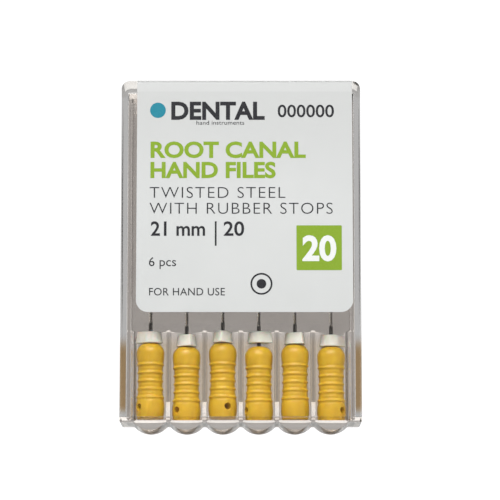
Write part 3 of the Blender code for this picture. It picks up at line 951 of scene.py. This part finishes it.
def stop_mesh(thickness):
    """A teardrop with its point towards -Y, narrowing slightly to its upper face."""
    outline = [(0, -STOP_POINT), (STOP_NOSE, -STOP_POINT + STOP_NOSE_DEPTH)]
    for u, v in arc(0, 0, STOP_RADIUS, -STOP_FLANK_DEGREES, 180 + STOP_FLANK_DEGREES, 44):
        outline.append((u, v * (STOP_BACK / STOP_RADIUS if v > 0 else 1)))
    outline.append((-STOP_NOSE, -STOP_POINT + STOP_NOSE_DEPTH))
    bm = bmesh.new()
    lower = [bm.verts.new((u, v, 0)) for u, v in outline]
    upper = [bm.verts.new((u * STOP_DRAFT, v * STOP_DRAFT, thickness)) for u, v in outline]
    bridge(bm, lower, upper)
    bm.faces.new(lower)
    bm.faces.new(upper)
    stop = new_object("stop_pattern", bm)
    bm = bmesh.new()
    heights = (-CUT_OVERRUN, thickness + CUT_OVERRUN)
    ends = [ring(bm, STOP_BORE_RADIUS, height, STOP_BORE_SIDES) for height in heights]
    bridge(bm, *ends)
    bm.faces.new(ends[0])
    bm.faces.new(ends[1])
    combine(stop, new_object("stop_bore", bm), "DIFFERENCE")
    round_edges(stop, STOP_EDGE, 4, 40)
    shade_round(stop, 40)
    mesh = stop.data
    bpy.data.objects.remove(stop, do_unlink=True)
    return mesh


def place_copy(name, mesh, x, z, turn_degrees):
    obj = bpy.data.objects.new(name, mesh)
    bpy.context.collection.objects.link(obj)
    obj.location = (x, 0, z)
    obj.rotation_euler.z = math.radians(turn_degrees)
    bpy.context.view_layer.update()
    return obj


def build_files(yellow, steel, rubber):
    handle, shaft = handle_mesh(), shaft_mesh()
    low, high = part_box("stop_1")
    stop = stop_mesh(high[2] - low[2])
    for number, hole_turn, stop_turn in zip(FILES, HOLE_TURNS, STOP_TURNS):
        x = pocket_x(number)
        low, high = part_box(f"handle_{number}")
        body = f"file_{number}"
        finish_piece(place_copy(f"grip_{number}", handle, x, low[2], hole_turn),
                     body, yellow, "handle_yellow", f"handle_{number}")
        finish_piece(place_copy(f"blade_{number}", shaft, x, high[2], hole_turn),
                     body, steel, "file_steel", f"shaft_{number}")
        low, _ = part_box(f"stop_{number}")
        finish_piece(place_copy(f"depth_stop_{number}", stop, x, low[2], stop_turn),
                     f"stop_{number}", rubber, "stop_silicone", f"stop_{number}")


# ------------------------------------------------------------------ studio

CAMERA_DISTANCE = 400 * MM
CAMERA_ELEVATION = -9.0
CAMERA_LENS = 196.0
CAMERA_AIM = Vector((1.34 * MM, 0, 26.82 * MM))
CAMERA_CLIP = (0.005, 20.0)
LIGHT_BOUNCES = 32
SURFACES_PASSED = 16

Lamp = namedtuple("Lamp", "name place size power")
LAMPS = [
    Lamp("key", (-0.04, -0.30, 0.36), (0.34, 0.16), 1.62),
    Lamp("fill", (0.35, -0.30, 0.12), (0.25, 0.25), 0.15),
    Lamp("top", (0.0, 0.05, 0.55), (0.5, 0.4), 0.3),
]
LAMP_AIM = Vector((0, 0, 25 * MM))

# The floor's glow where it is seen through plastic, and its inner and outer ring
FLOOR_SEEN_THROUGH = 0.55
FLOOR_RADII = (0.3, 3.0)

# The sky's strength low down and high up, between two heights of a direction one unit long; where
# the camera sees it; and where it is dimmer, in front of the case and straight behind it, as
# (starts, full, share left) along Y
SKY_LOW = 0.80
SKY_HIGH = 0.92
SKY_RISE = (0.1, 0.9)
SKY_SEEN = 1.1
SKY_DIM = ((-0.45, -0.90, 0.15), (0.86, 0.97, 0.62))


def add_lamp(lamp):
    light = bpy.data.lights.new(lamp.name, "AREA")
    light.shape = "RECTANGLE"
    light.size, light.size_y = lamp.size
    light.energy = lamp.power
    obj = bpy.data.objects.new(lamp.name, light)
    bpy.context.collection.objects.link(obj)
    obj.location = lamp.place
    obj.rotation_euler = (LAMP_AIM - obj.location).to_track_quat("-Z", "Y").to_euler()


def build_floor():
    bm = bmesh.new()
    rings = [ring(bm, radius, 0.0, FLOOR_SIDES) for radius in FLOOR_RADII]
    bridge(bm, *rings)
    bm.faces.new(rings[0])
    floor = new_object("floor", bm)
    floor.data.materials.append(floor_surface())
    if floor.data.polygons[0].normal.z < 0:
        floor.data.flip_normals()


def build_sky():
    world = bpy.data.worlds.new("studio")
    bpy.context.scene.world = world
    world.use_nodes = True
    nodes, links = world.node_tree.nodes, world.node_tree.links
    background = nodes["Background"]
    place = nodes.new("ShaderNodeTexCoord")
    split = nodes.new("ShaderNodeSeparateXYZ")
    links.new(place.outputs["Generated"], split.inputs["Vector"])

    def graded(axis, start, end, low, high):
        step = nodes.new("ShaderNodeMapRange")
        for name, value in (("From Min", start), ("From Max", end), ("To Min", low), ("To Max", high)):
            step.inputs[name].default_value = value
        links.new(split.outputs[axis], step.inputs["Value"])
        return step.outputs["Result"]

    strength = graded("Z", *SKY_RISE, SKY_LOW, SKY_HIGH)
    for start, full, share in SKY_DIM:
        product = nodes.new("ShaderNodeMath")
        product.operation = "MULTIPLY"
        links.new(strength, product.inputs[0])
        links.new(graded("Y", start, full, 1.0, share), product.inputs[1])
        strength = product.outputs["Value"]
    links.new(strength, background.inputs["Strength"])
    background.inputs["Color"].default_value = (1.0, 1.0, 1.0, 1.0)
    seen = nodes.new("ShaderNodeBackground")
    seen.inputs["Color"].default_value = (1.0, 1.0, 1.0, 1.0)
    seen.inputs["Strength"].default_value = SKY_SEEN
    mix = nodes.new("ShaderNodeMixShader")
    path = nodes.new("ShaderNodeLightPath")
    links.new(path.outputs["Is Camera Ray"], mix.inputs["Fac"])
    links.new(background.outputs["Background"], mix.inputs[1])
    links.new(seen.outputs["Background"], mix.inputs[2])
    links.new(mix.outputs["Shader"], nodes["World Output"].inputs["Surface"])


def build_camera():
    camera = bpy.data.cameras.new("camera")
    camera.lens = CAMERA_LENS
    camera.clip_start, camera.clip_end = CAMERA_CLIP
    eye = bpy.data.objects.new("camera", camera)
    bpy.context.collection.objects.link(eye)
    elevation = math.radians(CAMERA_ELEVATION)
    back = Vector((0, -math.cos(elevation), math.sin(elevation)))
    eye.location = CAMERA_AIM + back * CAMERA_DISTANCE
    eye.rotation_euler = (-back).to_track_quat("-Z", "Y").to_euler()
    bpy.context.scene.camera = eye


def build_studio():
    build_floor()
    build_sky()
    for lamp in LAMPS:
        add_lamp(lamp)
    build_camera()
    bpy.context.scene.view_settings.view_transform = "Standard"
    cycles = bpy.context.scene.cycles
    cycles.max_bounces = LIGHT_BOUNCES
    cycles.transmission_bounces = LIGHT_BOUNCES
    cycles.transparent_max_bounces = SURFACES_PASSED


def main():
    beside_handles = [("Z", 2.8 * MM, 5.0 * MM), ("Z", 14.8 * MM, 12.5 * MM)]
    # Painted reflection: the tray's dividers take some of the yellow handles' colour in the zone
    # beside them.
    divider_reflection = beside_handles + [("X", 15.4 * MM, 14.6 * MM), ("Y", 2.3 * MM, 1.9 * MM)]
    # Painted reflection: the sleeve's side rims take a brown tint of the handles' colour beside them,
    # and it stays with the sleeve when the sleeve is raised.
    rim_reflection = [("Z", 2.4 * MM, 3.6 * MM), ("Z", 14.2 * MM, 11.6 * MM),
                 ("X", 16.4 * MM, 16.7 * MM), ("Y", 3.3 * MM, 3.7 * MM)]
    thick_end = [("Z", CAVITY_TOP, CAVITY_TOP + 0.6 * MM)]

    build_tray(clear_plastic("clear_tray", (0.86, 0.81, 0.77), (0.82, 0.77, 0.73),
                             [((0.79, 0.64, 0.465), divider_reflection)]))
    build_sleeve(clear_plastic("clear_sleeve", (0.95, 0.94, 0.93), (0.92, 0.91, 0.90),
                               [((0.62, 0.42, 0.22), rim_reflection),
                                ((0.72, 0.70, 0.675), thick_end)]))
    build_label(label_paper())
    inks = {
        "dark": ink("ink_dark", (0.020, 0.020, 0.024), (0.05, 0.05, 0.055)),
        "green": ink("ink_green", (0.225, 0.355, 0.026), (0.26, 0.39, 0.05)),
        "teal": ink("ink_teal", (0.02, 0.22, 0.30), (0.04, 0.25, 0.33)),
        "white": ink("ink_white", (0.80, 0.81, 0.80), (0.74, 0.76, 0.74)),
    }
    build_print(inks)
    build_files(handle_plastic(), file_steel(), silicone())
    build_studio()


main()
